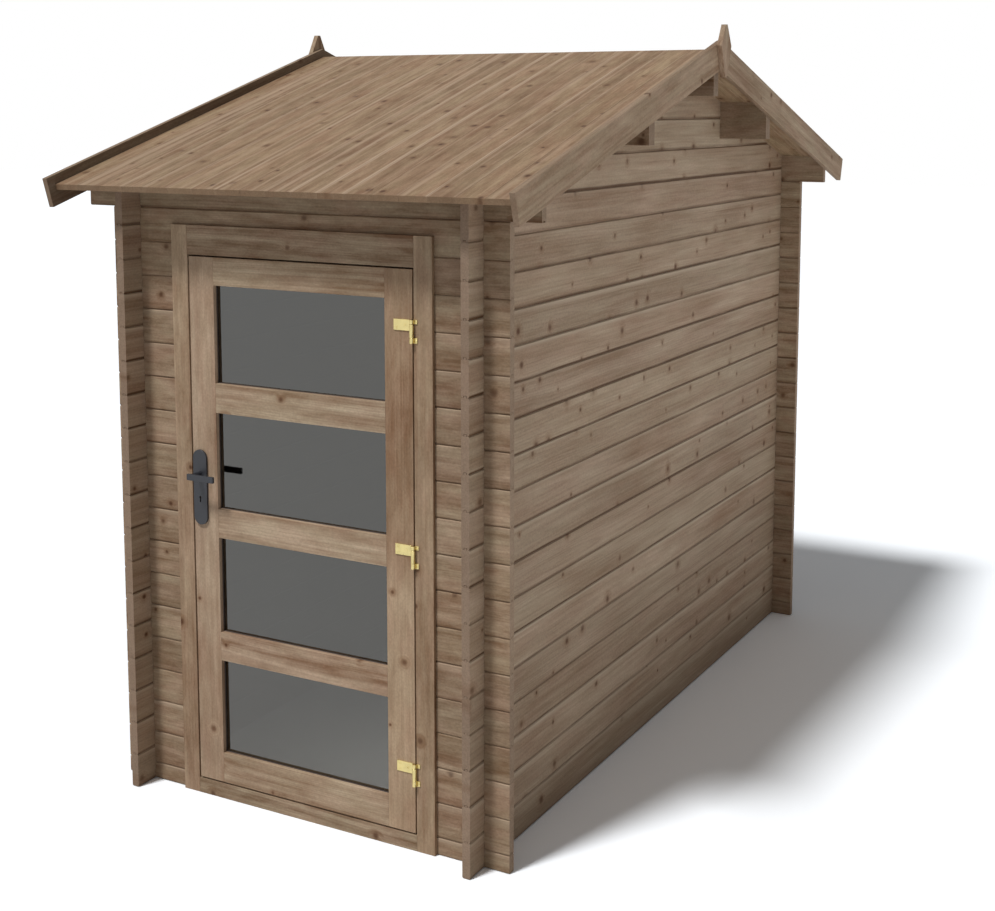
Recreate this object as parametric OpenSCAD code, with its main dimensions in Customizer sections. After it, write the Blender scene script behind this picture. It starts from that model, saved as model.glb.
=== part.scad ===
// Log garden shed: walls of notched, tongued logs, a low gable roof and a glazed door.
// X runs along the door wall, Y from the door wall to the rear, Z up from the ground.
// The origin is on the ground in the middle of the shed, under the ridge.

/* [Logs] */
// Thickness of a wall log
log_t = 28; // [24:1:40]
// Cover height of one log
course = 114; // [104:1:130]
// How far logs run on past the wall that they cross
corner_out = 88; // [60:1:110]
// Depth of the V cut along each log edge
v_cut = 3.5; // [2:0.5:4]
// Width of the tongue on top of a log
tongue_w = 9; // [6:0.5:12]
// Height of the tongue
tongue_h = 6; // [4:0.5:9]
// Play of the tongue in the groove above it
tongue_fit = 0.5; // [0.3:0.1:0.8]
// Play between pieces that seat on each other
seat_fit = 0.3; // [0.2:0.1:0.5]

/* [Building] */
// Width of the door wall over its outer faces
wall_w = 1344; // [1250:2:2000]
// Depth of the shed over its outer faces
wall_d = 2744; // [1800:2:3600]
// Full courses of logs in a side wall, up to the eave
side_courses = 18; // [16:1:20]

/* [Roof] */
// Slope of the roof in degrees
roof_pitch = 16.7; // [12:0.1:24]
// Height of the eave log at its outer face
eave_log_h = 106; // [90:1:112]
// Thickness of the roof boards
deck_t = 19; // [16:1:28]
// How far the roof runs past the side walls
gable_out = 192; // [130:1:260]
// How far the top edge of the roof runs past the door wall and the rear wall
eave_out = 163; // [110:1:240]
// Thickness of a purlin
purlin_t = 46; // [36:1:60]
// Height of the ridge purlin
ridge_purlin_h = 148; // [110:1:170]
// Height of the purlins between ridge and eave
mid_purlin_h = 138; // [100:1:160]
// Distance from the ridge to the middle of those purlins
mid_purlin_y = 583; // [400:1:640]

/* [Gable trim] */
// Thickness of a bargeboard
barge_t = 19; // [16:1:28]
// Width of a bargeboard
barge_w = 100; // [80:1:130]
// How far a bargeboard stands above the roof boards
barge_up = 30; // [10:1:40]
// How far a bargeboard runs down past the edge of the roof boards
barge_past = 30; // [0:1:60]
// Thickness of a finial
finial_t = 19; // [16:1:28]
// Width of the finial at its shoulders
finial_w = 100; // [80:1:130]
// Width of the finial at its tip and its foot
finial_tip_w = 16; // [8:1:60]
// Height of the tip above the bargeboards
finial_up = 56; // [30:1:90]
// Depth of the shoulders below the top of the bargeboards
finial_shoulder = 20; // [5:1:40]
// How far the foot hangs below the bargeboards
finial_down = 28; // [10:1:60]

/* [Doorway] */
// Width of a casing beside the door
casing_w = 66; // [50:1:90]
// Height of the casing over the door
head_casing_h = 97; // [70:1:120]
// How far the casing stands in front of the logs
casing_t = 13; // [10:1:20]
// Thickness of the lining that closes the ends of the cut logs
lining_t = 34; // [24:1:40]
// Height of the sill
sill_h = 52; // [40:1:70]
// Thickness of the frame behind the logs
inner_frame_t = 24; // [20:1:34]
// Width of the lip that stops the leaf
stop_w = 12; // [8:1:20]

/* [Door leaf] */
// Width of the leaf
leaf_w = 862; // [720:2:900]
// Thickness of the leaf
leaf_t = 40; // [36:1:44]
// Play round the leaf
leaf_gap = 5.5; // [5:0.5:8]
// Depth of the leaf behind the face of the casing
leaf_set = 1; // [0:0.5:3]
// Width of a stile
stile_w = 100; // [90:1:120]
// Height of the top rail
top_rail_h = 92; // [70:1:120]
// Height of the rails between the panes
mid_rail_h = 98; // [60:1:120]
// Height of the bottom rail
bottom_rail_h = 104; // [80:1:160]
// Panes of glass, one above the other
pane_count = 4; // [2:1:5]
// Thickness of the glass
glass_t = 4; // [3:0.5:6]
// Depth of the groove that holds the glass
glass_groove = 10; // [6:1:14]
// Play of the glass in its groove, on each face
glass_fit = 0.4; // [0.2:0.1:0.6]

/* [Handle] */
// Width of a handle plate
plate_w = 56; // [44:1:60]
// Height of a handle plate
plate_h = 254; // [200:2:280]
// Thickness of a handle plate
plate_t = 8; // [5:0.5:10]
// Distance from the edge of the leaf to the middle of the plate
handle_inset = 32; // [31:1:50]
// Height of the lever over the foot of the leaf
lever_z = 1059; // [950:1:1110]
// Height of the lever over the middle of its plate
lever_over_plate = 45; // [10:1:60]
// Depth of the keyhole below the lever
keyhole_drop = 79; // [60:1:105]
// Radius of the round end of the keyhole
keyhole_r = 4; // [3:0.5:6]
// Length of the slot below that round end
keyhole_len = 17; // [10:1:20]
// Height of the flat lever
lever_h = 21; // [18:1:26]
// Thickness of the flat lever
lever_t = 9; // [6:0.5:12]
// Rounding of the corners of the lever
lever_corner = 3; // [1:0.5:6]
// Radius of the neck of the lever
neck_r = 9; // [7.5:0.5:10]
// Distance from the plate to the middle of the lever
lever_out = 48; // [38:1:60]
// Length of the lever from the spindle to its end
lever_len = 97; // [80:1:130]
// Length of the heel behind the spindle
lever_heel = 12; // [10:1:13]
// Width of the square spindle
spindle_w = 8; // [6:0.5:9]
// Play of the spindle in its bores and of the neck on its plate
spindle_fit = 0.6; // [0.3:0.1:1]

/* [Hinges] */
// Radius of the hinge barrel
barrel_r = 7; // [6:0.5:9]
// Height of the hinge barrel
barrel_h = 72; // [60:1:90]
// Radius of the hinge pin
pin_r = 3.5; // [2.5:0.5:4]
// Play of the pin in the knuckle of the leaf
pin_fit = 0.3; // [0.2:0.1:0.5]
// Play between knuckles, and between the barrel and the casing
knuckle_fit = 0.8; // [0.4:0.1:1]
// Height of the upper knuckle on the casing
upper_knuckle_h = 13; // [10:1:18]
// Height of the lower knuckle on the casing
lower_knuckle_h = 17; // [10:1:20]
// Length of the plate on the leaf, from the pin
hinge_plate_len = 68; // [50:1:84]
// Height of the plate on the leaf
hinge_plate_h = 34; // [28:1:40]
// Gap between that plate and the barrel
hinge_plate_gap = 3; // [2:0.5:5]
// Height of the neck that joins that plate to its knuckle
hinge_neck_h = 12; // [8:1:16]
// Length of the tabs on the casing, from the pin
hinge_tab_len = 17; // [14:1:30]
// Thickness of the hinge plates and tabs
hinge_plate_t = 3; // [2:0.5:4]
// Distance of the lowest hinge from the foot of the leaf
hinge_low = 195; // [120:1:300]
// Distance of the highest hinge from the top of the leaf
hinge_high = 188; // [120:1:300]

/* [Hidden] */
$fn = 48;
ANGLE_RUN = tan(roof_pitch);
OVER = 5;

// Planes of the walls and the middle lines of their logs
side_x = wall_w/2;
front_y = -wall_d/2;
side_mid = side_x - log_t/2;
front_mid = front_y + log_t/2;
notch_d = course/4;
notch_w = log_t + 2*seat_fit;

// Heights of the roof, measured to the underside of the roof boards
wall_top_z = side_courses*course;
eave_log_z = wall_top_z - course/2;
eave_z = eave_log_z + eave_log_h;
function under(y) = eave_z + ANGLE_RUN*(wall_d/2 - abs(y));
function slope_point(y, lift) = [y - lift*sin(roof_pitch), under(y) + lift*cos(roof_pitch)];
roof_x = side_x + gable_out;
deck_foot_y = front_y - eave_out + deck_t*sin(roof_pitch);
barge_top = deck_t + barge_up;
barge_foot_y = deck_foot_y - barge_past*cos(roof_pitch);
gable_last = ceil(under(purlin_t/2 + seat_fit)/course) - 1;
mid_purlin_z = under(mid_purlin_y) - mid_purlin_h;
ridge_purlin_z = under(0) - ridge_purlin_h;

// Doorway, worked out from the leaf and the lintel log
lintel_z = eave_log_z - course;
jamb_x = leaf_w/2 + leaf_gap;
cut_x = jamb_x + lining_t + seat_fit;
head_z = lintel_z - seat_fit - lining_t;
casing_top_z = head_z + head_casing_h;
casing_y = front_y - casing_t;
inner_y = front_y + log_t;
frame_back_y = inner_y + inner_frame_t;

// Door leaf
leaf_y = casing_y + leaf_set;
leaf_back_y = leaf_y + leaf_t;
leaf_z = sill_h + leaf_gap;
leaf_top_z = head_z - leaf_gap;
leaf_h = leaf_top_z - leaf_z;
stop_y = leaf_back_y + leaf_gap;
pane_w = leaf_w - 2*stile_w;
pane_h = (leaf_h - top_rail_h - bottom_rail_h - (pane_count - 1)*mid_rail_h)/pane_count;
pane_step = pane_h + mid_rail_h;
groove_w = glass_t + 2*glass_fit;
glass_y = leaf_y + leaf_t/2;

// Handle and hinges
handle_x = -leaf_w/2 + handle_inset;
handle_z = leaf_z + lever_z;
plate_z = handle_z - lever_over_plate;
bore_r = spindle_w/sqrt(2) + spindle_fit;
// The inner plate passes the lip of the jamb, so it is narrower than the outer one
inner_plate_w = min(plate_w, 2*(handle_x + jamb_x - stop_w - leaf_gap));
hinge_x = leaf_w/2 + leaf_gap/2;
hinge_y = casing_y - barrel_r - knuckle_fit;
hinge_mid_z = (leaf_z + hinge_low + leaf_top_z - hinge_high)/2;
hinge_heights = [leaf_z + hinge_low, hinge_mid_z, leaf_top_z - hinge_high];

// Section of a log: V cuts on all edges, a groove below and a tongue on top
module log_section(height, groove = true, tongue = true) {
    half = log_t/2;
    slot = tongue_w/2 + tongue_fit;
    foot = groove
        ? [[-slot, 0], [-slot, tongue_h + tongue_fit], [slot, tongue_h + tongue_fit], [slot, 0]]
        : [];
    crest = tongue
        ? [[tongue_w/2, height], [tongue_w/2, height + tongue_h],
           [-tongue_w/2, height + tongue_h], [-tongue_w/2, height]]
        : [];
    polygon(concat(
        [[-half, v_cut], [-half + v_cut, 0]], foot,
        [[half - v_cut, 0], [half, v_cut], [half, height - v_cut], [half - v_cut, height]], crest,
        [[-half + v_cut, height], [-half, height - v_cut]]
    ));
}

// Sets a section drawn in Y and Z along X, from one X to another
module along_x(from, to) {
    translate([from, 0, 0]) rotate([90, 0, 90]) linear_extrude(to - from) children();
}

// Log of the door wall or the rear wall. Course 0 is the half log on the ground.
module cross_log(from, to, mid_y, level) {
    bottom = level == 0 ? 0 : (level - 0.5)*course;
    height = level == 0 ? course/2 : course;
    difference() {
        along_x(from, to) translate([mid_y, bottom]) log_section(height, groove = level > 0);
        for (side = [-1, 1]) {
            if (level > 0) cross_notch(side*side_mid, mid_y, bottom - OVER, bottom + notch_d);
            cross_notch(side*side_mid, mid_y, bottom + height - notch_d,
                bottom + height + tongue_h + OVER);
        }
    }
}

module cross_notch(x, y, from_z, to_z) {
    translate([x - notch_w/2, y - log_t, from_z]) cube([notch_w, 2*log_t, to_z - from_z]);
}

// Log of a side wall, notched over and under both cross walls
module side_log(mid_x, level) {
    bottom = level*course;
    reach = wall_d/2 + corner_out;
    top_log = level == side_courses - 1;
    difference() {
        translate([mid_x, reach, bottom]) rotate([90, 0, 0])
            linear_extrude(2*reach) log_section(course, groove = level > 0);
        for (end = [-1, 1]) {
            side_notch(mid_x, end*front_mid, bottom - OVER, bottom + notch_d);
            side_notch(mid_x, end*front_mid, bottom + course - notch_d,
                bottom + course + tongue_h + OVER);
            if (top_log) tongue_trim(mid_x, end, bottom + course);
        }
    }
}

module side_notch(x, y, from_z, to_z) {
    translate([x - log_t, y - notch_w/2, from_z]) cube([2*log_t, notch_w, to_z - from_z]);
}

// Takes the tongue off the ends of the top log, outside the cross walls
module tongue_trim(x, end, z) {
    length = corner_out + log_t + OVER;
    middle = end*(wall_d/2 - log_t + length/2);
    translate([x - log_t, middle - length/2, z]) cube([2*log_t, length, tongue_h + OVER]);
}

// Space under the roof boards, as one prism along X
module under_roof() {
    reach = wall_d/2 + corner_out;
    along_x(-roof_x, roof_x)
        polygon([[-reach, 0], [reach, 0], [reach, under(reach)], [0, under(0)], [-reach, under(reach)]]);
}

// Log of a gable: cut to the roof slope, and open where the purlins pass
module gable_log(mid_x, level) {
    reach = wall_d/2 - log_t - seat_fit;
    difference() {
        intersection() {
            translate([mid_x, reach, level*course]) rotate([90, 0, 0])
                linear_extrude(2*reach) log_section(course);
            under_roof();
        }
        purlin_pocket(mid_x, 0, ridge_purlin_z);
        for (side = [-1, 1]) purlin_pocket(mid_x, side*mid_purlin_y, mid_purlin_z);
    }
}

module purlin_pocket(x, y, z) {
    width = purlin_t + 2*seat_fit;
    translate([x - log_t, y - width/2, z]) cube([2*log_t, width, under(0)]);
}

// Alternate courses of one wall, so that the logs of one node lie apart
module stub_logs(side, first) {
    outer = side_x + corner_out;
    for (level = [first : 2 : side_courses - 2])
        if (side < 0) cross_log(-outer, -cut_x, front_mid, level);
        else cross_log(cut_x, outer, front_mid, level);
}

module rear_logs(first) {
    outer = side_x + corner_out;
    for (level = [first : 2 : side_courses - 1]) cross_log(-outer, outer, -front_mid, level);
}

module side_logs(side, first) {
    for (level = [first : 2 : side_courses - 1]) side_log(side*side_mid, level);
}

module gable_logs(side, first) {
    for (level = [side_courses + first : 2 : gable_last]) gable_log(side*side_mid, level);
}

// Top log of the door wall, bevelled to the roof and run out to the bargeboards
module eave_log() {
    slot = tongue_w/2 + tongue_fit;
    difference() {
        along_x(-roof_x, roof_x) polygon([
            [front_y, eave_log_z + v_cut], [front_y + v_cut, eave_log_z],
            [front_mid - slot, eave_log_z], [front_mid - slot, eave_log_z + tongue_h + tongue_fit],
            [front_mid + slot, eave_log_z + tongue_h + tongue_fit], [front_mid + slot, eave_log_z],
            [inner_y - v_cut, eave_log_z], [inner_y, eave_log_z + v_cut],
            [inner_y, under(inner_y)], [front_y, under(front_y)]
        ]);
        for (side = [-1, 1])
            cross_notch(side*side_mid, front_mid, eave_log_z - OVER, eave_log_z + notch_d);
    }
}

module to_rear() {
    mirror([0, 1, 0]) children();
}

module to_left() {
    mirror([1, 0, 0]) children();
}

module mid_purlin() {
    near = -mid_purlin_y - purlin_t/2;
    far = -mid_purlin_y + purlin_t/2;
    along_x(-roof_x, roof_x)
        polygon([[near, mid_purlin_z], [far, mid_purlin_z], [far, under(far)], [near, under(near)]]);
}

module roof_deck() {
    along_x(-roof_x, roof_x) polygon([
        [0, under(0)], [0, under(0) + deck_t/cos(roof_pitch)],
        slope_point(deck_foot_y, deck_t), slope_point(deck_foot_y, 0)
    ]);
}

module bargeboard() {
    low = barge_top - barge_w;
    along_x(roof_x, roof_x + barge_t) polygon([
        [0, under(0) + low/cos(roof_pitch)], [0, under(0) + barge_top/cos(roof_pitch)],
        slope_point(barge_foot_y, barge_top), slope_point(barge_foot_y, low)
    ]);
}

module finial() {
    crown = under(0) + barge_top/cos(roof_pitch);
    foot = under(0) + (barge_top - barge_w)/cos(roof_pitch) - finial_down;
    along_x(roof_x + barge_t, roof_x + barge_t + finial_t) polygon([
        [-finial_tip_w/2, foot], [finial_tip_w/2, foot],
        [finial_w/2, crown - finial_shoulder],
        [finial_tip_w/2, crown + finial_up], [-finial_tip_w/2, crown + finial_up],
        [-finial_w/2, crown - finial_shoulder]
    ]);
}

// Jamb of the doorway: a channel over the ends of the cut logs, with a lip that stops the leaf
module jamb() {
    edge = jamb_x + casing_w;
    difference() {
        linear_extrude(casing_top_z) polygon([
            [jamb_x, casing_y], [edge, casing_y], [edge, front_y],
            [jamb_x + lining_t, front_y], [jamb_x + lining_t, inner_y],
            [edge, inner_y], [edge, frame_back_y],
            [jamb_x - stop_w, frame_back_y], [jamb_x - stop_w, stop_y], [jamb_x, stop_y]
        ]);
        translate([jamb_x - OVER, front_y, lintel_z - seat_fit])
            cube([casing_w, log_t, casing_top_z]);
    }
}

// Room that the lips of the jambs take out of the head and the sill
module lip_room() {
    for (side = [-1, 1])
        translate([side*jamb_x - stop_w - seat_fit, stop_y - seat_fit, -OVER])
            cube([2*(stop_w + seat_fit), inner_frame_t + log_t, casing_top_z + 2*OVER]);
}

module head() {
    reach = jamb_x - seat_fit;
    difference() {
        along_x(-reach, reach) polygon([
            [casing_y, head_z], [stop_y, head_z], [stop_y, head_z - stop_w],
            [frame_back_y, head_z - stop_w], [frame_back_y, casing_top_z], [inner_y, casing_top_z],
            [inner_y, lintel_z - seat_fit], [front_y, lintel_z - seat_fit],
            [front_y, casing_top_z], [casing_y, casing_top_z]
        ]);
        lip_room();
    }
}

module sill() {
    reach = jamb_x - seat_fit;
    difference() {
        translate([-reach, casing_y, 0]) cube([2*reach, frame_back_y - casing_y, sill_h]);
        lip_room();
    }
}

// Stile at the hinge side, with the groove for the panes along its inner edge
module stile() {
    inner = leaf_w/2 - stile_w;
    difference() {
        translate([inner, leaf_y, leaf_z]) cube([stile_w, leaf_t, leaf_h]);
        translate([inner - OVER, glass_y - groove_w/2, leaf_z - OVER])
            cube([glass_groove + OVER, groove_w, leaf_h + 2*OVER]);
    }
}

// Rail between the stiles: its stub tenons fill the groove, and its edges hold the glass
module rail(bottom, height, groove_below, groove_above) {
    tenon = glass_groove - seat_fit;
    difference() {
        union() {
            translate([-pane_w/2, leaf_y, bottom]) cube([pane_w, leaf_t, height]);
            translate([-pane_w/2 - tenon, glass_y - glass_t/2, bottom])
                cube([pane_w + 2*tenon, glass_t, height]);
        }
        if (groove_below) glass_cut(bottom - OVER);
        if (groove_above) glass_cut(bottom + height - glass_groove);
    }
}

module glass_cut(from_z) {
    translate([-leaf_w/2, glass_y - groove_w/2, from_z])
        cube([leaf_w, groove_w, glass_groove + OVER]);
}

module pane(level) {
    sink = glass_groove - seat_fit;
    bottom = leaf_z + bottom_rail_h + level*pane_step;
    translate([-pane_w/2 - sink, glass_y - glass_t/2, bottom - sink])
        cube([pane_w + 2*sink, glass_t, pane_h + 2*sink]);
}

// Handle plate with round ends, a bore for the spindle and a keyhole
module handle_plate(rear_y, width) {
    straight = plate_h - width;
    translate([handle_x, rear_y, plate_z]) rotate([90, 0, 0])
        linear_extrude(plate_t) difference() {
            union() {
                square([width, straight], center = true);
                for (end = [-1, 1]) translate([0, end*straight/2]) circle(d = width);
            }
            translate([0, lever_over_plate]) circle(r = bore_r);
            keyhole();
        }
}

module keyhole() {
    translate([0, lever_over_plate - keyhole_drop]) {
        circle(r = keyhole_r);
        translate([-keyhole_r/2, -keyhole_len]) square([keyhole_r, keyhole_len]);
    }
}

// Cylinder along Y for the necks and bores
module rod_y(r, from_y, to_y) {
    translate([handle_x, to_y, handle_z]) rotate([90, 0, 0]) cylinder(r = r, h = to_y - from_y);
}

// Flat lever arm with rounded corners, from its heel to the hinge side
module lever_arm(arm_y) {
    length = lever_heel + lever_len;
    translate([handle_x - lever_heel, arm_y + lever_t/2, handle_z - lever_h/2]) rotate([90, 0, 0])
        linear_extrude(lever_t) {
            translate([lever_corner, 0]) square([length - 2*lever_corner, lever_h]);
            translate([0, lever_corner]) square([length, lever_h - 2*lever_corner]);
            for (x = [lever_corner, length - lever_corner], z = [lever_corner, lever_h - lever_corner])
                translate([x, z]) circle(r = lever_corner);
        }
}

// Outer lever: a flat arm on a round neck, which takes the spindle
module lever_front(face_y) {
    arm_y = face_y - lever_out;
    difference() {
        union() {
            rod_y(neck_r, arm_y, face_y - spindle_fit);
            lever_arm(arm_y);
        }
        spindle_square(arm_y + lever_t, face_y, seat_fit);
    }
}

module spindle_square(from_y, to_y, play) {
    width = spindle_w + 2*play;
    translate([handle_x - width/2, from_y, handle_z - width/2]) cube([width, to_y - from_y, width]);
}

// One hinge: the knuckle on the leaf and its plate, which sits high and is joined by a neck
module leaf_hinge(z) {
    foot = z - barrel_h/2 + lower_knuckle_h + knuckle_fit;
    top = z + barrel_h/2 - upper_knuckle_h - knuckle_fit;
    plate_edge = hinge_x - barrel_r - hinge_plate_gap;
    difference() {
        union() {
            translate([hinge_x, hinge_y, foot]) cylinder(r = barrel_r, h = top - foot);
            hinge_flap(hinge_x - hinge_plate_len, plate_edge, leaf_y,
                z + barrel_h/2 - knuckle_fit - hinge_plate_h, hinge_plate_h);
            hinge_flap(plate_edge, hinge_x, leaf_y, top - hinge_neck_h, hinge_neck_h);
        }
        translate([hinge_x, hinge_y, z - barrel_h]) cylinder(r = pin_r + pin_fit, h = 2*barrel_h);
    }
}

// Flat piece of a hinge that lies on the face at face_y
module hinge_flap(from_x, to_x, face_y, foot, height) {
    translate([from_x, face_y - hinge_plate_t, foot]) cube([to_x - from_x, hinge_plate_t, height]);
}

// The two knuckles, tabs and pin on the casing
module frame_hinge(z) {
    casing_knuckle(z - barrel_h/2, lower_knuckle_h);
    casing_knuckle(z + barrel_h/2 - upper_knuckle_h, upper_knuckle_h);
    translate([hinge_x, hinge_y, z - barrel_h/2]) cylinder(r = pin_r, h = barrel_h);
}

module casing_knuckle(foot, height) {
    translate([hinge_x, hinge_y, foot]) cylinder(r = barrel_r, h = height);
    hinge_flap(hinge_x, hinge_x + hinge_tab_len, casing_y, foot, height);
}

module front_wall_left_logs_a() { color("rosybrown") stub_logs(-1, 0); }
module front_wall_left_logs_b() { color("tan") stub_logs(-1, 1); }
module front_wall_right_logs_a() { color("rosybrown") stub_logs(1, 0); }
module front_wall_right_logs_b() { color("tan") stub_logs(1, 1); }
module lintel_log() {
    outer = side_x + corner_out;
    color("tan") cross_log(-outer, outer, front_mid, side_courses - 1);
}
module front_eave_log() { color("rosybrown") eave_log(); }
module rear_wall_logs_a() { color("rosybrown") rear_logs(0); }
module rear_wall_logs_b() { color("tan") rear_logs(1); }
module rear_eave_log() { color("rosybrown") to_rear() eave_log(); }
module left_wall_logs_a() { color("tan") side_logs(-1, 0); }
module left_wall_logs_b() { color("rosybrown") side_logs(-1, 1); }
module right_wall_logs_a() { color("tan") side_logs(1, 0); }
module right_wall_logs_b() { color("rosybrown") side_logs(1, 1); }
module left_gable_logs_a() { color("tan") gable_logs(-1, 0); }
module left_gable_logs_b() { color("rosybrown") gable_logs(-1, 1); }
module right_gable_logs_a() { color("tan") gable_logs(1, 0); }
module right_gable_logs_b() { color("rosybrown") gable_logs(1, 1); }
module ridge_purlin() {
    half = purlin_t/2;
    color("peru") along_x(-roof_x, roof_x) polygon([
        [-half, ridge_purlin_z], [half, ridge_purlin_z],
        [half, under(half)], [0, under(0)], [-half, under(half)]
    ]);
}
module front_purlin() { color("peru") mid_purlin(); }
module rear_purlin() { color("peru") to_rear() mid_purlin(); }
module front_roof_deck() { color("burlywood") roof_deck(); }
module rear_roof_deck() { color("burlywood") to_rear() roof_deck(); }
module left_front_bargeboard() { color("sienna") to_left() bargeboard(); }
module left_rear_bargeboard() { color("sienna") to_left() to_rear() bargeboard(); }
module right_front_bargeboard() { color("sienna") bargeboard(); }
module right_rear_bargeboard() { color("sienna") to_rear() bargeboard(); }
module left_finial() { color("peru") to_left() finial(); }
module right_finial() { color("peru") finial(); }
module door_left_jamb() { color("tan") to_left() jamb(); }
module door_right_jamb() { color("tan") jamb(); }
module door_head() { color("tan") head(); }
module door_sill() { color("tan") sill(); }
module hinge_frame_knuckles() { color("goldenrod") for (z = hinge_heights) frame_hinge(z); }
module leaf_lock_stile() {
    color("rosybrown") difference() {
        to_left() stile();
        rod_y(bore_r, leaf_y - OVER, leaf_back_y + OVER);
    }
}
module leaf_hinge_stile() { color("rosybrown") stile(); }
module leaf_rails() {
    color("rosybrown") {
        rail(leaf_z, bottom_rail_h, false, true);
        for (level = [1 : pane_count - 1])
            rail(leaf_z + bottom_rail_h + level*pane_step - mid_rail_h, mid_rail_h, true, true);
        rail(leaf_top_z - top_rail_h, top_rail_h, true, false);
    }
}
module leaf_glass() { color("gray") for (level = [0 : pane_count - 1]) pane(level); }
module hinge_leaf_plates() { color("goldenrod") for (z = hinge_heights) leaf_hinge(z); }
module outer_handle_plate() { color("dimgray") handle_plate(leaf_y, plate_w); }
module inner_handle_plate() { color("dimgray") handle_plate(leaf_back_y + plate_t, inner_plate_w); }
module handle_spindle() {
    color("silver")
        spindle_square(leaf_y - plate_t - lever_out/2, leaf_back_y + plate_t + lever_out/2, 0);
}
module outer_lever() { color("dimgray") lever_front(leaf_y - plate_t); }
module inner_lever() {
    color("dimgray") translate([0, leaf_y + leaf_back_y, 0]) to_rear() lever_front(leaf_y - plate_t);
}

front_wall_left_logs_a();
front_wall_left_logs_b();
front_wall_right_logs_a();
front_wall_right_logs_b();
lintel_log();
front_eave_log();
rear_wall_logs_a();
rear_wall_logs_b();
rear_eave_log();
left_wall_logs_a();
left_wall_logs_b();
right_wall_logs_a();
right_wall_logs_b();
left_gable_logs_a();
left_gable_logs_b();
right_gable_logs_a();
right_gable_logs_b();
ridge_purlin();
front_purlin();
rear_purlin();
front_roof_deck();
rear_roof_deck();
left_front_bargeboard();
left_rear_bargeboard();
right_front_bargeboard();
right_rear_bargeboard();
left_finial();
right_finial();
door_left_jamb();
door_right_jamb();
door_head();
door_sill();
hinge_frame_knuckles();
leaf_lock_stile();
leaf_hinge_stile();
leaf_rails();
leaf_glass();
hinge_leaf_plates();
outer_handle_plate();
inner_handle_plate();
handle_spindle();
outer_lever();
inner_lever();
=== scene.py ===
"""Log garden shed: pine, glass and metal finishes, roof boards, small fittings and a studio stage."""
import math
import random

import bpy
from bpy.props import FloatProperty, FloatVectorProperty, IntProperty, PointerProperty
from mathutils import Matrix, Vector


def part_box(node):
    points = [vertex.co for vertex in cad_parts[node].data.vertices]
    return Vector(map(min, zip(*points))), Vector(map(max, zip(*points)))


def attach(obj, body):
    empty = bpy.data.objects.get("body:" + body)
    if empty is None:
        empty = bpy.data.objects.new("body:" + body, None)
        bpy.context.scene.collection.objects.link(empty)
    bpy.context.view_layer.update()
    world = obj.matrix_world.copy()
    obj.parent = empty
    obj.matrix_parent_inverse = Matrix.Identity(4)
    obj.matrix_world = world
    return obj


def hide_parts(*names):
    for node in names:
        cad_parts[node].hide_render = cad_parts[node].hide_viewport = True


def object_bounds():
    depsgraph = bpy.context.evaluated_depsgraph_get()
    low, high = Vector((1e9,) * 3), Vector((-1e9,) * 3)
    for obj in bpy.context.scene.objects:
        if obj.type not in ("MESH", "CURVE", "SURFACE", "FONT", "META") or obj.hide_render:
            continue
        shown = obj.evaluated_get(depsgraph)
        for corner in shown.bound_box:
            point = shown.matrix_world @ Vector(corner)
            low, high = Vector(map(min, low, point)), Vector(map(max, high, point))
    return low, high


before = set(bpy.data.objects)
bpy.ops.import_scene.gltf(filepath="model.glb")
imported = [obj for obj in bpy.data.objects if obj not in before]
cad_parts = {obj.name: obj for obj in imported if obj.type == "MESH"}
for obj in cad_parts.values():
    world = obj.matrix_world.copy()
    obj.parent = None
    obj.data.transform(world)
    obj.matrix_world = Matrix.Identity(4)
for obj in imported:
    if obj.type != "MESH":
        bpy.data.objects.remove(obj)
CAD_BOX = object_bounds()

bl_info = {
    "name": "Log garden shed",
    "version": (1, 0, 0),
    "blender": (4, 5, 0),
    "location": "View3D > Sidebar > Shed",
    "description": "Finishes, roof boards and fittings of a log garden shed around its frame",
    "category": "Object",
}

# Groups of nodes that share a finish
CROSS_LOGS = [
    "front_wall_left_logs_a", "front_wall_left_logs_b",
    "front_wall_right_logs_a", "front_wall_right_logs_b",
    "lintel_log", "front_eave_log", "rear_wall_logs_a", "rear_wall_logs_b", "rear_eave_log",
]
SIDE_LOGS = [
    f"{side}_{part}_logs_{turn}"
    for side in ("left", "right") for part in ("wall", "gable") for turn in "ab"
]
PURLINS = ["ridge_purlin", "front_purlin", "rear_purlin"]
BARGEBOARDS = [f"{side}_{end}_bargeboard" for side in ("left", "right") for end in ("front", "rear")]
FINIALS = ["left_finial", "right_finial"]
BRASS_NODES = ["hinge_frame_knuckles", "hinge_leaf_plates"]
IRON_NODES = ["outer_handle_plate", "inner_handle_plate", "outer_lever", "inner_lever"]

# Small sizes in metres: play beside boards and seals, bevels, and how near two places count as one
PLAY = 0.0002
SEAL_LIP = 0.001
BRASS_ROUND = 0.0006
IRON_ROUND = 0.0014
SAME_PLACE = 0.00001

# Screws in a hinge leaf: distance from its free edge and share of its height
LEAF_SCREWS = ((0.011, 0.26), (0.011, 0.74), (0.041, 0.5))

# Screws in a hinge tab: distance from its free edge and size beside those in the leaf
TAB_SCREW_INSET = 0.0045
TAB_SCREW_SHARE = 0.7

# Screws in the inner handle plate, as shares of its height, and how far any head stands out and is sunk
PLATE_SCREWS = (0.09, 0.91)
SCREW_RISE = 0.0008
SCREW_SUNK = 0.0002

# Stage: half the floor's width, its drop below the shed and the height of the fill panel
FLOOR_HALF = 40
FLOOR_DROP = 0.0005
FILL_LIFT = 0.01

# Patterns in a piece of pine, in features a metre: along the grain, across it and in depth
SWAY = (0.9, 4, 4)
KNOT_RIM = (90, 90, 90)
RING_DRIFT = (0.5, 5, 5)
STREAKS = (1.6, 110, 110)
FIBRES = (12, 420, 420)
SPECKLES = (120, 170, 170)
BLUSH = (6, 17, 17)

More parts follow.
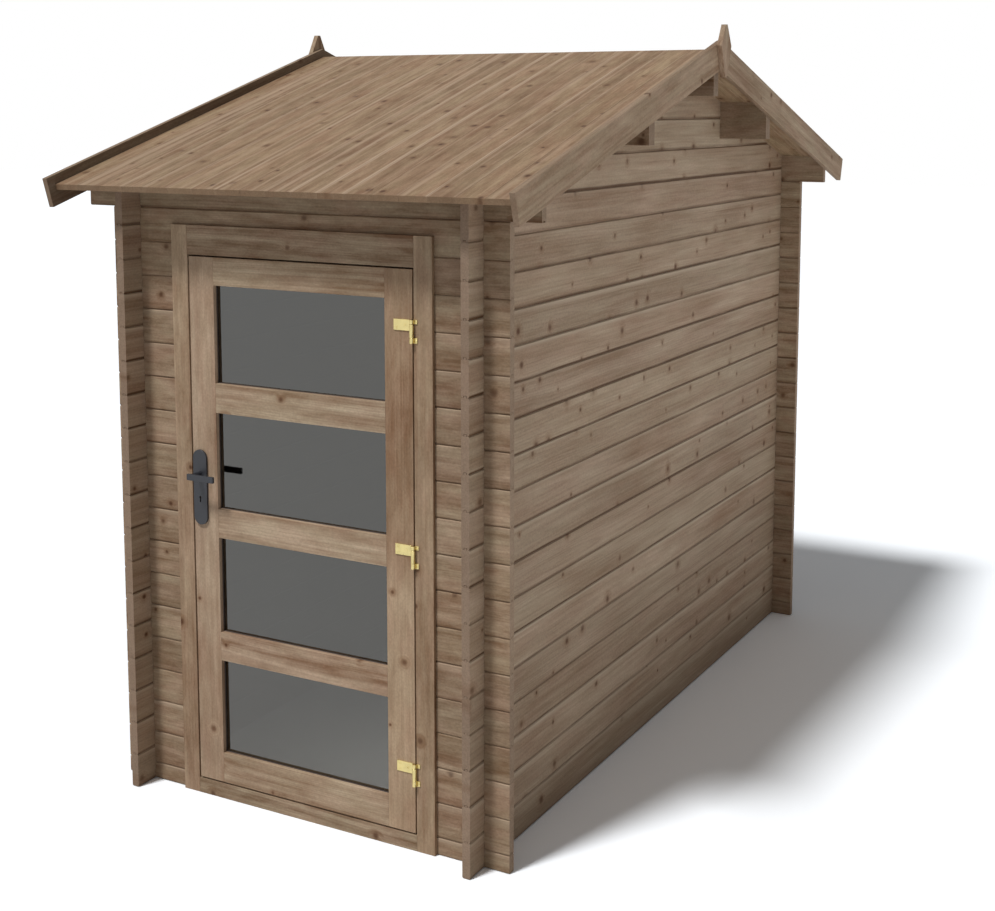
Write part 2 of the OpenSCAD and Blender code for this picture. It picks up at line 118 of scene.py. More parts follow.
# Patterns of weather and wear over the whole shed, in features a metre along x, y and z
WEATHER = (1.7, 1.7, 2.6)
WEAR = (4, 4, 9)


def linear(red, green, blue):
    """Colour in linear light from the 0 to 255 values that a colour picker shows."""
    shares = [part / 255 for part in (red, green, blue)]
    return tuple(s / 12.92 if s <= 0.04045 else ((s + 0.055) / 1.055) ** 2.4 for s in shares)


def middle(node):
    """Middle of a node's box."""
    low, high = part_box(node)
    return (low + high) / 2


def spans(node, x=None):
    """Foot and top of each piece of a node whose pieces lie one above another, or of its edges at one x."""
    corners = [v.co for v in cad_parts[node].data.vertices]
    heights = sorted({round(c.z, 5) for c in corners if x is None or abs(c.x - x) < SAME_PLACE})
    return list(zip(heights[0::2], heights[1::2]))


def roof_section():
    """Corners of the front roof deck in Y and Z: top and foot of its eave edge, foot and top at the ridge."""
    points = {(round(v.co.y, 6), round(v.co.z, 6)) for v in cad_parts["front_roof_deck"].data.vertices}
    return [Vector((0, y, z)) for y, z in sorted(points)]


EAVE_TOP, EAVE_FOOT, RIDGE_FOOT, RIDGE_TOP = roof_section()
ROOF_PITCH = math.atan2(RIDGE_TOP.z - EAVE_TOP.z, RIDGE_TOP.y - EAVE_TOP.y)
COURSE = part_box("left_wall_logs_b")[0].z


class ShedTimber(bpy.types.PropertyGroup):
    """Colours and figure of the pine."""
    # Also the colour of the painted highlight along the upper lip of each log course
    pale: FloatVectorProperty(
        name="Pale wood", description="Sapwood and early growth", subtype="COLOR",
        default=linear(178, 158, 136), min=0, max=1)
    worn: FloatVectorProperty(
        name="Worn wood", description="Pale lanes and worn edges of the roof boards", subtype="COLOR",
        default=linear(177, 153, 129), min=0, max=1)
    warm: FloatVectorProperty(
        name="Warm wood", description="Heartwood", subtype="COLOR",
        default=linear(121, 93, 70), min=0, max=1)
    late: FloatVectorProperty(
        name="Growth lines", description="Dark late growth in each ring", subtype="COLOR",
        default=linear(104, 80, 61), min=0, max=1)
    halo: FloatVectorProperty(
        name="Knot surround", description="Resin-dark wood round a knot", subtype="COLOR",
        default=linear(122, 88, 60), min=0, max=1)
    knot: FloatVectorProperty(
        name="Knot", description="Heart of a knot", subtype="COLOR",
        default=linear(80, 48, 28), min=0, max=1)
    # Dirt and painted shade in the grooves at the foot of each log course and along one side of each board
    # seam
    grime_and_shade: FloatVectorProperty(
        name="Groove grime", description="Dirt in the grooves between logs and boards", subtype="COLOR",
        default=linear(80, 56, 36), min=0, max=1)
    knot_cell: FloatProperty(
        name="Knot spacing", description="Size of the field in which one knot may lie",
        subtype="DISTANCE", unit="LENGTH", default=0.11, min=0.05, max=0.5)
    knot_share: FloatProperty(
        name="Knot share", description="Share of those fields that hold a knot",
        subtype="FACTOR", default=0.38, min=0, max=1)
    banding: FloatProperty(
        name="Banding", description="Contrast of the wide bands of sapwood and heartwood",
        default=2.0, min=0, max=5)
    edge_round: FloatProperty(
        name="Edge rounding", description="Rounding of sawn edges",
        subtype="DISTANCE", unit="LENGTH", default=0.001, min=0.0002, max=0.003)


class ShedRoof(bpy.types.PropertyGroup):
    """Boards of the roof."""
    boards: IntProperty(
        name="Boards", description="Boards across each slope", default=18, min=8, max=30)
    chamfer: FloatProperty(
        name="Chamfer", description="Chamfer along each board's edges",
        subtype="DISTANCE", unit="LENGTH", default=0.0009, min=0.0005, max=0.005)
    unevenness: FloatProperty(
        name="Unevenness", description="How far a board's eave end may differ from the line",
        subtype="DISTANCE", unit="LENGTH", default=0.0008, min=0, max=0.004)


class ShedFittings(bpy.types.PropertyGroup):
    """Glass, seals, hinges and handle."""
    glass: FloatVectorProperty(
        name="Glass", description="Tint of the panes", subtype="COLOR",
        default=linear(60, 59, 55), min=0, max=1)
    mirror_tint: FloatVectorProperty(
        name="Mirror tint", description="Tint of what the panes mirror", subtype="COLOR",
        default=(1.0, 0.965, 0.90), min=0, max=1)
    mirror: FloatProperty(
        name="Mirror", description="Refractive index of the panes, which sets how strongly they mirror",
        default=1.945, min=1, max=3)
    seal: FloatVectorProperty(
        name="Seal", description="Rubber strip round each pane", subtype="COLOR",
        default=linear(66, 51, 42), min=0, max=1)
    brass: FloatVectorProperty(
        name="Brass", description="Plated hinges", subtype="COLOR",
        default=linear(217, 199, 138), min=0, max=1)
    iron: FloatVectorProperty(
        name="Black iron", description="Handle plates and levers", subtype="COLOR",
        default=linear(47, 48, 53), min=0, max=1)
    steel: FloatVectorProperty(
        name="Steel", description="Square spindle", subtype="COLOR",
        default=linear(205, 203, 198), min=0, max=1)
    seal_width: FloatProperty(
        name="Seal width", description="Width of the strip on the glass",
        subtype="DISTANCE", unit="LENGTH", default=0.0018, min=0.001, max=0.01)
    seal_depth: FloatProperty(
        name="Seal depth", description="How far the strip stands out from the glass",
        subtype="DISTANCE", unit="LENGTH", default=0.0045, min=0.002, max=0.017)
    screw_radius: FloatProperty(
        name="Screw radius", description="Radius of a screw head",
        subtype="DISTANCE", unit="LENGTH", default=0.0048, min=0.002, max=0.006)


class ShedStage(bpy.types.PropertyGroup):
    """Camera, lamps and floor."""
    camera_place: FloatVectorProperty(
        name="Camera", description="Place of the camera", subtype="TRANSLATION", unit="LENGTH",
        default=(2.8456, -5.2315, 2.3254))
    camera_yaw: FloatProperty(
        name="Yaw", description="Turn of the view from straight at the door wall",
        subtype="ANGLE", default=math.radians(-28.865))
    camera_pitch: FloatProperty(
        name="Pitch", description="Tilt of the view", subtype="ANGLE", default=math.radians(-6.871))
    lens: FloatProperty(
        name="Lens", description="Focal length in millimetres", default=54.935, min=10, max=200)
    rise: FloatProperty(
        name="Lens shift", description="Vertical shift of the lens", default=-0.1663, min=-0.5, max=0.5)
    sun: FloatProperty(name="Sun", description="Strength of the key light", default=2.42, min=0, max=10)
    sun_blur: FloatProperty(
        name="Sun size", description="Apparent size of the key light", subtype="ANGLE",
        default=math.radians(9), min=0, max=math.radians(90))
    sun_way: FloatVectorProperty(
        name="Sun way", description="Way in which the key light travels", subtype="DIRECTION",
        default=(0.2, 0.5, -1.0))
    fill: FloatProperty(
        name="Fill", description="Power of the panel that lies beside the right wall",
        default=87, min=0, max=200)
    fill_tint: FloatVectorProperty(
        name="Fill tint", description="Colour of that panel's light", subtype="COLOR",
        default=(0.88, 0.95, 1.0), min=0, max=1)
    daylight: FloatProperty(
        name="Daylight", description="Power of the light that falls on the ground behind the door",
        default=2.5, min=0, max=50)
    sky: FloatProperty(name="Sky", description="Strength of the light all round", default=0.212, min=0, max=2)
    floor: FloatVectorProperty(
        name="Floor", description="Colour of the floor as seen", subtype="COLOR",
        default=(1.17, 1.21, 1.255), min=0, max=2)
    bounce: FloatProperty(
        name="Bounce", description="Brightness of the floor as it lights the shed", subtype="FACTOR",
        default=0.65, min=0, max=1)


SETTINGS = {"timber": ShedTimber, "roof": ShedRoof, "fittings": ShedFittings, "stage": ShedStage}


def settings(name):
    """One group of settings of the scene, by its short name."""
    return getattr(bpy.context.scene, "shed_" + name)


class Wiring:
    """Adds nodes to one tree and joins them, so that a finish reads as a list of steps."""

    def __init__(self, tree):
        self.tree = tree

    def node(self, kind, **values):
        made = self.tree.nodes.new("ShaderNode" + kind)
        for name, value in values.items():
            setattr(made, name, value)
        return made

    def feed(self, socket, value):
        if isinstance(value, bpy.types.NodeSocket):
            self.tree.links.new(value, socket)
        elif socket.type == "RGBA":
            socket.default_value = (*value, 1)
        else:
            socket.default_value = value

    def math(self, operation, *values):
        made = self.node("Math", operation=operation)
        for socket, value in zip(made.inputs, values):
            self.feed(socket, value)
        return made.outputs[0]

    def scaled(self, value, factor, offset=0.0):
        return self.math("MULTIPLY_ADD", value, factor, offset)

    def vector(self, operation, *values):
        made = self.node("VectorMath", operation=operation)
        for socket, value in zip(made.inputs, values):
            self.feed(socket, value)
        return made.outputs[0]

    def combine(self, x, y, z=0.0):
        made = self.node("CombineXYZ")
        for socket, value in zip(made.inputs, (x, y, z)):
            self.feed(socket, value)
        return made.outputs[0]

    def split(self, vector):
        made = self.node("SeparateXYZ")
        self.feed(made.inputs[0], vector)
        return made.outputs[0], made.outputs[1], made.outputs[2]

    def noise(self, place, pattern=(1, 1, 1), detail=2.0, rough=0.5):
        """Value and colour of a noise whose pattern says how fine it is along each axis."""
        made = self.node("TexNoise")
        self.feed(made.inputs["Vector"], self.vector("MULTIPLY", place, pattern))
        self.feed(made.inputs["Scale"], 1.0)
        self.feed(made.inputs["Detail"], detail)
        self.feed(made.inputs["Roughness"], rough)
        return made.outputs["Fac"], made.outputs["Color"]

    def chance(self, place):
        made = self.node("TexWhiteNoise", noise_dimensions="3D")
        self.feed(made.inputs["Vector"], place)
        return made.outputs["Value"], made.outputs["Color"]

    def step(self, value, low, high):
        """0 to 1 as value goes from low to high, with a soft start and end."""
        made = self.node("MapRange", interpolation_type="SMOOTHSTEP")
        self.feed(made.inputs["Value"], value)
        self.feed(made.inputs["From Min"], low)
        self.feed(made.inputs["From Max"], high)
        return made.outputs["Result"]

    def mix(self, share, one, other, blend="MIX"):
        """Mixes two colours, which a mix node takes at sockets 6 and 7 and gives back at 2."""
        made = self.node("Mix", data_type="RGBA", blend_type=blend)
        self.feed(made.inputs[0], share)
        self.feed(made.inputs[6], one)
        self.feed(made.inputs[7], other)
        return made.outputs[2]

    def grey(self, value):
        """A colour with the same value in all three parts."""
        return self.combine(value, value, value)


FIGURE_INPUTS = ("Along", "Across", "Depth", "Seed", "End", "Banding", "Bands", "Mottle", "Clouds", "Knots")


def pine_figure():
    """Node group that draws pine: growth rings round a stem, bands of tone, fibres and knots."""
    name = "Pine figure"
    if name in bpy.data.node_groups:
        return bpy.data.node_groups[name]
    timber = settings("timber")
    tree = bpy.data.node_groups.new(name, "ShaderNodeTree")
    for label in FIGURE_INPUTS:
        tree.interface.new_socket(label, in_out="INPUT", socket_type="NodeSocketFloat")
    tree.interface.new_socket("Color", in_out="OUTPUT", socket_type="NodeSocketColor")
    tree.interface.new_socket("Height", in_out="OUTPUT", socket_type="NodeSocketFloat")
    w = Wiring(tree)
    given = tree.nodes.new("NodeGroupInput").outputs
    along, across, depth, seed, end, banding, bands, mottle, clouds, knots = (
        given[label] for label in FIGURE_INPUTS)

    # Chances of this board: where its stem lay, how wide its rings are and how it is toned
    stem_luck = w.split(w.chance(w.combine(seed, 0.17))[1])
    tone_luck = w.split(w.chance(w.combine(seed, 0.71))[1])
    shift = w.combine(w.scaled(stem_luck[0], 40), w.scaled(stem_luck[1], 11), w.scaled(stem_luck[2], 7))
    spot = w.vector("ADD", w.combine(along, across, depth), shift)
    sway = w.split(w.noise(spot, SWAY, detail=1.5)[1])

    # Knots, 5 to 15 mm in radius: some fields of a cell pattern on the face hold one
    field = w.node("TexVoronoi", voronoi_dimensions="2D", feature="F1")
    spot_x, spot_y, spot_z = w.split(spot)
    w.feed(field.inputs["Vector"], w.combine(spot_x, spot_y))
    w.feed(field.inputs["Scale"], 1 / timber.knot_cell)
    w.feed(field.inputs["Randomness"], 0.9)
    knot_luck = w.split(field.outputs["Color"])
    has_knot = w.math("LESS_THAN", knot_luck[0], w.scaled(knots, timber.knot_share))
    rim = w.noise(spot, KNOT_RIM, detail=1)[0]
    ragged = w.scaled(rim, 0.5 * timber.knot_cell, 0.75 * timber.knot_cell)
    distance = w.math("MULTIPLY", field.outputs["Distance"], ragged)
    radius = w.scaled(knot_luck[1], 0.010, 0.005)
    reach = w.math("DIVIDE", distance, radius)
    core = w.math("MULTIPLY", has_knot, w.step(reach, 1.3, 0.25))
    halo = w.math("MULTIPLY", has_knot, w.step(reach, 3.0, 0.8))

    # Growth rings, 5 to 10 mm wide: distance from a stem line that wanders, bent aside round knots
    stem_across = w.math("SUBTRACT", across, w.scaled(stem_luck[1], 0.10, -0.05))
    ring_across = w.math("ADD", stem_across, w.scaled(sway[0], 0.07, -0.035))
    stem_depth = w.math("ADD", depth, w.scaled(stem_luck[2], 0.05, 0.012))
    ring_depth = w.math("ADD", stem_depth, w.scaled(sway[1], 0.04, -0.02))
    plain_radius = w.math("SQRT", w.math("ADD", w.math("MULTIPLY", ring_across, ring_across),
                                         w.math("MULTIPLY", ring_depth, ring_depth)))
    bend = w.math("MULTIPLY", halo, w.scaled(radius, 1.1))
    stem_radius = w.math("ADD", plain_radius, bend)
    year = w.math("DIVIDE", stem_radius, w.scaled(tone_luck[0], 0.005, 0.005))
    drift = w.noise(spot, RING_DRIFT, detail=1)[0]
    phase = w.math("FRACT", w.math("ADD", year, w.scaled(drift, 3)))
    late = w.math("MULTIPLY", w.step(phase, 0.35, 0.92), w.step(phase, 1.0, 0.94))

    # Wide bands of sapwood and heartwood that follow the rings, then clouds, streaks and fibres
    band_place = w.combine(w.math("MULTIPLY", stem_radius, bands), w.scaled(spot_x, 1.5),
                           w.scaled(tone_luck[1], 9))
    band = w.noise(band_place)[0]
    cloud_place = w.combine(w.math("MULTIPLY", spot_x, clouds), w.scaled(spot_y, 34), w.scaled(spot_z, 34))
    cloud = w.noise(cloud_place, detail=4, rough=0.62)[0]
    streak = w.noise(spot, STREAKS, detail=3, rough=0.6)[0]
    fibre = w.noise(spot, FIBRES)[0]
    speckle = w.noise(spot, SPECKLES)[0]
    blush = w.step(w.noise(spot, BLUSH)[0], 0.38, 0.66)

    # All of it in one colour, calmer on sawn ends
    calm = w.scaled(end, -0.7, 1)
    heart = w.math("MULTIPLY_ADD", w.scaled(band, 1, -0.5), w.math("MULTIPLY", banding, calm), 0.5)
    patchy = w.math("ADD", w.math("MULTIPLY", w.scaled(cloud, 1.6, -0.8), mottle),
                    w.math("MULTIPLY", w.scaled(streak, 1, -0.5), w.scaled(banding, 0.25, 0.25)))
    tone = w.mix(w.math("MULTIPLY_ADD", patchy, calm, heart), timber.pale, timber.warm)
    lined = w.mix(w.math("MULTIPLY", late, w.scaled(end, -0.08, 0.15)), tone, timber.late)
    grain = w.math("ADD", w.scaled(fibre, 0.2, 0.68), w.scaled(speckle, 0.44))
    brushed = w.mix(1.0, lined, w.grey(grain), "MULTIPLY")
    lit = w.mix(1.0, brushed, w.grey(w.scaled(tone_luck[1], 0.14, 0.93)), "MULTIPLY")
    ruddy = w.math("MULTIPLY_ADD", w.scaled(blush, 0.75), mottle, w.scaled(tone_luck[2], 0.5, -0.12))
    hue = w.mix(ruddy, (1.0, 1.01, 0.945), (1.055, 0.98, 0.945))
    blushed = w.mix(calm, lit, hue, "MULTIPLY")
    ringed = w.mix(w.scaled(halo, 0.35), blushed, timber.halo)
    knotted = w.mix(w.math("MULTIPLY", core, w.scaled(knot_luck[2], 0.4, 0.58)), ringed, timber.knot)
    sawn = w.mix(w.scaled(end, 0.8), knotted, (0.86, 0.84, 0.84), "MULTIPLY")

    result = tree.nodes.new("NodeGroupOutput").inputs
    w.feed(result["Color"], sawn)
    w.feed(result["Height"], w.math("ADD", w.scaled(fibre, 0.6),
                                    w.math("ADD", w.scaled(late, -0.35), w.scaled(core, -0.5))))
    return tree


def pine(name, along, across, depth, middle_across=0.0, middle_depth=0.0, course=0.0, course_phase=0.0,
         mirrored=False, tint=(1, 1, 1), banding=1.0, bands=46, mottle=1.0, clouds=9.0, knots=1.0,
         grime_and_shade=0.0, grime_and_shade_reach=0.0055, pale_edge=0.0, lip_highlight=0.0, stripes=0.0, ends=1.0, back=1.0):
    """Pine whose grain runs along one axis of the shed.

    along, across and depth are x, y, z, or slope and rise for pieces that follow the roof, and
    middle_across and middle_depth are subtracted from the places on the last two. Pieces side by side on
    one node are told apart by their course, the step from one to the next, and course_phase is the share
    of a course by which one starts below zero. With mirrored, depth counts alike on both sides of the
    shed's middle, and with "across" the width does too. Banding, mottle and knots are shares of the
    usual contrast and number. Bands is how many bands of tone there are in a metre across the rings, and
    clouds how many cloudy patches in a metre along the grain. Pale_edge and stripes are the strength of
    worn rims and pale lanes, lip_highlight that of a painted highlight along the upper lip of each course,
    and grime that of the dirt and painted shade at the foot of a course, up to about grime_and_shade_reach.
    Tint multiplies the whole colour, ends that of sawn ends, and back that of faces that don't look outward
    at a gable, which it darkens as painted shade.
    """
    timber = settings("timber")
    material = bpy.data.materials.new(name)
    material.use_nodes = True
    w = Wiring(material.node_tree)
    shader = material.node_tree.nodes["Principled BSDF"]
    place = w.node("TexCoord").outputs
    x, y, z = w.split(place["Object"])
    turn_x, turn_y, turn_z = w.split(place["Normal"])
    sine, cosine = math.sin(ROOF_PITCH), math.cos(ROOF_PITCH)
    away = w.math("ABSOLUTE", y)
    inward = w.math("MULTIPLY", turn_y, w.math("SIGN", y))
    axes = {
        "x": (x, turn_x), "y": (y, turn_y), "z": (z, turn_z),
        "slope": (w.math("ADD", w.scaled(away, -cosine), w.scaled(z, sine)),
                  w.math("ADD", w.scaled(inward, -cosine), w.scaled(turn_z, sine))),
        "rise": (w.math("ADD", w.scaled(away, sine), w.scaled(z, cosine)),
                 w.math("ADD", w.scaled(inward, sine), w.scaled(turn_z, cosine))),
    }
    level = 0.0
    inset = w.math("SUBTRACT", axes[across][0], middle_across)
    if mirrored == "across":
        inset = w.math("SUBTRACT", w.math("ABSOLUTE", axes[across][0]), middle_across)
    if course:
        level = w.math("FLOOR", w.scaled(axes[across][0], 1 / course, course_phase))
        inset = w.math("SUBTRACT", axes[across][0], w.scaled(level, course, course * (0.5 - course_phase)))
    inner = axes[depth][0]
    if mirrored:
        inner = w.math("ABSOLUTE", inner)
    inner = w.math("SUBTRACT", inner, middle_depth)
    own = w.node("ObjectInfo").outputs["Random"]
    seed = w.chance(w.combine(level, w.scaled(own, 57)))[0]

    figure = w.node("Group")
    figure.node_tree = pine_figure()
    end = w.step(w.math("ABSOLUTE", axes[along][1]), 0.6, 0.85)
    for label, value in zip(FIGURE_INPUTS, (axes[along][0], inset, inner, seed, end,
                                            banding * timber.banding, bands, mottle, clouds, knots)):
        w.feed(figure.inputs[label], value)
    colour = w.mix(1.0, figure.outputs["Color"], tint, "MULTIPLY")
    if stripes:
        lane = w.noise(w.combine(w.scaled(axes[across][0], 34), w.scaled(axes[along][0], 0.25),
                                 w.scaled(level, 1.7)), detail=1)[0]
        shown = w.math("MULTIPLY", w.step(lane, 0.54, 0.74), w.scaled(end, -stripes, stripes))
        colour = w.mix(shown, colour, timber.worn)

    # Slow patches of weathering, then worn rims, a painted highlight on each upper lip, and dirt with painted
    # shade at the foot of each course
    patch = w.noise(place["Object"], WEATHER, detail=3)[0]
    colour = w.mix(1.0, colour, w.grey(w.scaled(patch, 0.24, 0.88)), "MULTIPLY")
    if course:
        uneven = w.noise(place["Object"], WEAR, detail=1)[0]
        along_edge = w.math("MULTIPLY", w.scaled(uneven, 1.8), w.scaled(end, -0.9, 1.0))
        seam = w.math("ROUND", w.scaled(axes[across][0], 1 / course, course_phase))
        pale_luck, grime_and_shade_luck, wide_luck = w.split(w.chance(w.combine(seam, 0.37))[1])
        if pale_edge:
            rim = w.math("SUBTRACT", course / 2, w.math("ABSOLUTE", inset))
            worn = w.math("MULTIPLY", w.step(rim, w.scaled(wide_luck, 0.009, 0.007), 0.002),
                          w.math("MULTIPLY", along_edge, w.scaled(pale_luck, 1.1, 0.1)))
            colour = w.mix(w.scaled(worn, pale_edge), colour, timber.worn)
        # Painted highlight along the upper lip of each course, in the pale wood colour
        if lip_highlight:
            lip = w.math("SUBTRACT", course / 2, inset)
            worn = w.math("MULTIPLY", w.step(lip, w.scaled(wide_luck, 0.018, 0.010), 0.004),
                          w.math("MULTIPLY", along_edge, pale_luck))
            colour = w.mix(w.scaled(worn, lip_highlight), colour, timber.pale)
        # Dirt and painted shade at the foot of each course, in the grime colour
        if grime_and_shade:
            foot = w.math("ADD", inset, course / 2)
            grimy_and_shaded = w.math("MULTIPLY", w.step(foot, w.scaled(wide_luck, 0.004, grime_and_shade_reach), 0.002),
                           w.math("MULTIPLY", along_edge, w.scaled(grime_and_shade_luck, 0.7, 0.5)))
            colour = w.mix(w.scaled(grimy_and_shaded, grime_and_shade), colour, timber.grime_and_shade)

    # Tone of sawn ends, then painted shade on faces that look away from a gable
    colour = w.mix(1.0, colour, w.grey(w.scaled(end, ends - 1, 1)), "MULTIPLY")
    if back != 1:
        outward = w.math("MULTIPLY", turn_x, w.math("SIGN", x))
        inner_face_shade = w.math("MULTIPLY", w.step(outward, 0.7, -0.6), w.scaled(end, -1, 1))
        colour = w.mix(1.0, colour, w.grey(w.scaled(inner_face_shade, back - 1, 1)), "MULTIPLY")
    w.feed(shader.inputs["Base Color"], colour)
    shader.inputs["Roughness"].default_value = 0.72
    shader.inputs["Specular IOR Level"].default_value = 0.25
    bump = w.node("Bump")
    bump.inputs["Strength"].default_value = 0.5
    bump.inputs["Distance"].default_value = 0.0006
    w.feed(bump.inputs["Height"], figure.outputs["Height"])
    w.feed(shader.inputs["Normal"], bump.outputs["Normal"])
    return material


def fitting_finish(name, colour, roughness, metallic, grain, bump_depth):
    """Metal or rubber with small changes of tone and roughness and a fine uneven surface."""
    material = bpy.data.materials.new(name)
    material.use_nodes = True
    w = Wiring(material.node_tree)
    shader = material.node_tree.nodes["Principled BSDF"]
    place = w.node("TexCoord").outputs["Object"]
    fine = w.noise(place, (grain, grain, grain), detail=3)[0]
    broad = w.noise(place, (40, 40, 40))[0]
    toned = w.mix(1.0, colour, w.grey(w.scaled(broad, 0.35, 0.82)), "MULTIPLY")
    w.feed(shader.inputs["Base Color"], toned)
    w.feed(shader.inputs["Roughness"], w.scaled(broad, 0.2, roughness - 0.1))
    shader.inputs["Metallic"].default_value = metallic
    bump = w.node("Bump")
    bump.inputs["Strength"].default_value = 0.4
    bump.inputs["Distance"].default_value = bump_depth
    w.feed(bump.inputs["Height"], fine)
    w.feed(shader.inputs["Normal"], bump.outputs["Normal"])
    return material


def dress(nodes, material):
    """Gives CAD nodes a material."""
    for name in nodes:
        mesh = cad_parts[name].data
        mesh.materials.clear()
        mesh.materials.append(material)


def ease_edges(nodes, width):
    """Rounds the sharp edges of CAD nodes a little, as planed wood and cast metal are."""
    for name in nodes:
        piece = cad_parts[name]
        weld = piece.modifiers.new("Weld", "WELD")
        weld.merge_threshold = 0.00002
        flat = piece.modifiers.new("Whole faces", "DECIMATE")
        flat.decimate_type = "DISSOLVE"
        flat.angle_limit = math.radians(1)
        ease = piece.modifiers.new("Eased edges", "BEVEL")
        ease.width = width
        ease.segments = 2
        ease.limit_method = "ANGLE"
        ease.angle_limit = math.radians(30)
        ease.use_clamp_overlap = False
        ease.harden_normals = True


def add_piece(name, points, faces, material, body):
    """Makes a mesh piece that rides on a body."""
    mesh = bpy.data.meshes.new(name)
    mesh.from_pydata(points, [], faces)
    mesh.validate()
    mesh.materials.append(material)
    piece = bpy.data.objects.new(name, mesh)
    bpy.context.scene.collection.objects.link(piece)
    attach(piece, body)
    return piece


class SHED_OT_stage(bpy.types.Operator):
    """Sets the camera, the lamps, the sky and the floor"""
    bl_idname = "shed.stage"
    bl_label = "Stage"

    def execute(self, context):
        stage = settings("stage")
        scene = context.scene
        scene.view_settings.view_transform = "Standard"
        lens = bpy.data.cameras.new("camera")
        lens.lens = stage.lens
        lens.shift_y = stage.rise
        camera = bpy.data.objects.new("camera", lens)
        camera.location = stage.camera_place
        flat = math.cos(stage.camera_pitch)
        way = Vector((math.sin(stage.camera_yaw) * flat, math.cos(stage.camera_yaw) * flat,
                      math.sin(stage.camera_pitch)))
        camera.rotation_euler = way.to_track_quat("-Z", "Y").to_euler()
        scene.collection.objects.link(camera)
        scene.camera = camera
        self.key(scene, stage)
        self.fill(scene, stage)
        self.daylight(scene, stage)
        self.sky(scene, stage)
        self.floor(scene, stage)
        return {"FINISHED"}

    @staticmethod
    def key(scene, stage):
        light = bpy.data.lights.new("key", "SUN")
        light.energy = stage.sun
        light.angle = stage.sun_blur
        lamp = bpy.data.objects.new("key", light)
        lamp.rotation_euler = Vector(stage.sun_way).to_track_quat("-Z", "Y").to_euler()
        scene.collection.objects.link(lamp)

    @staticmethod
    def panel_lamp(scene, name, power, size, place):
        """A lamp with an oblong face that looks down and shows neither straight nor in a mirror."""
        light = bpy.data.lights.new(name, "AREA")
        light.shape = "RECTANGLE"
        light.size, light.size_y = size
        light.energy = power
        lamp = bpy.data.objects.new(name, light)
        lamp.location = place
        lamp.visible_camera = False
        lamp.visible_glossy = False
        scene.collection.objects.link(lamp)
        return light, lamp

    def fill(self, scene, stage):
        """Lights the right wall from below."""
        light, lamp = self.panel_lamp(scene, "fill", stage.fill, size=(3.0, 5.0),
                                      place=(3.37, 0.0, CAD_BOX[0].z + FILL_LIFT))
        light.color = stage.fill_tint
        lamp.rotation_euler = (math.pi, 0, 0)

    def daylight(self, scene, stage):
        """Lights the ground behind the door, since tinted glass casts a full shadow on it."""
        light, lamp = self.panel_lamp(scene, "daylight", stage.daylight, size=(0.3, 0.5),
                                      place=(0.05, -0.95, 0.7))
        light.spread = math.radians(120)
        lamp.visible_transmission = False

    @staticmethod
    def seen(w):
        """1 for rays that show the background to the camera, straight or by a mirror or glass."""
        rays = w.node("LightPath").outputs
        mirrored = w.math("MAXIMUM", rays["Is Glossy Ray"], rays["Is Transmission Ray"])
        return w.math("MAXIMUM", rays["Is Camera Ray"], mirrored)

    def sky(self, scene, stage):
        world = bpy.data.worlds.new("sky")
        world.use_nodes = True
        w = Wiring(world.node_tree)
        back = world.node_tree.nodes["Background"]
        back.inputs["Color"].default_value = (1, 1, 1, 1)
        w.feed(back.inputs["Strength"], w.math("MULTIPLY_ADD", self.seen(w), 1 - stage.sky, stage.sky))
        scene.world = world

    def floor(self, scene, stage):
        half = FLOOR_HALF
        mesh = bpy.data.meshes.new("floor")
        mesh.from_pydata([(-half, -half, 0), (half, -half, 0), (half, half, 0), (-half, half, 0)],
                         [], [(0, 1, 2, 3)])
        floor = bpy.data.objects.new("floor", mesh)
        floor.location.z = CAD_BOX[0].z - FLOOR_DROP
        scene.collection.objects.link(floor)
        material = bpy.data.materials.new("pale floor")
        material.use_nodes = True
        tree = material.node_tree
        tree.nodes.clear()
        w = Wiring(tree)
        shown = w.node("BsdfDiffuse")
        shown.inputs["Color"].default_value = (*stage.floor, 1)
        lighting = w.node("BsdfDiffuse")
        lighting.inputs["Color"].default_value = (stage.bounce, stage.bounce, stage.bounce, 1)
        choice = w.node("MixShader")
        w.feed(choice.inputs[0], self.seen(w))
        w.feed(choice.inputs[1], lighting.outputs[0])
        w.feed(choice.inputs[2], shown.outputs[0])
        result = w.node("OutputMaterial")
        w.feed(result.inputs["Surface"], choice.outputs[0])
        mesh.materials.append(material)


class SHED_OT_log_walls(bpy.types.Operator):
    """Finishes the logs of the walls and gables and the purlins"""
    bl_idname = "shed.log_walls"
    bl_label = "Log walls"

    def execute(self, context):
        wall_y = middle("rear_eave_log").y
        wall_x = middle("right_wall_logs_a").x
        # On the logs, grime paints dirt and shade at the foot of each course, and lip_highlight a highlight
        # on each upper lip
        cross = pine("cross log pine", "x", "z", "y", middle_depth=wall_y, course=COURSE, course_phase=0.5,
                     mirrored=True, grime_and_shade=0.6, grime_and_shade_reach=0.008, lip_highlight=0.5, banding=0.6, bands=36,
                     knots=0.6)
        side = pine("side log pine", "y", "z", "x", middle_depth=wall_x, course=COURSE,
                    mirrored=True, grime_and_shade=1.3, grime_and_shade_reach=0.010, lip_highlight=0.9, banding=0.55, bands=22,
                    mottle=0.5, clouds=3, knots=0.85, tint=(1.0, 1.01, 1.055))
        # The purlins' darker tint is painted shade, for the shade under the roof's overhang
        shaded_purlin_finish = pine("purlin pine", "x", "z", "y", middle_across=middle("front_purlin").z,
                    tint=(0.78, 0.77, 0.76))
        dress(CROSS_LOGS, cross)
        dress(SIDE_LOGS, side)
        dress(PURLINS, shaded_purlin_finish)
        ease_edges(CROSS_LOGS + SIDE_LOGS + PURLINS, settings("timber").edge_round)
        return {"FINISHED"}


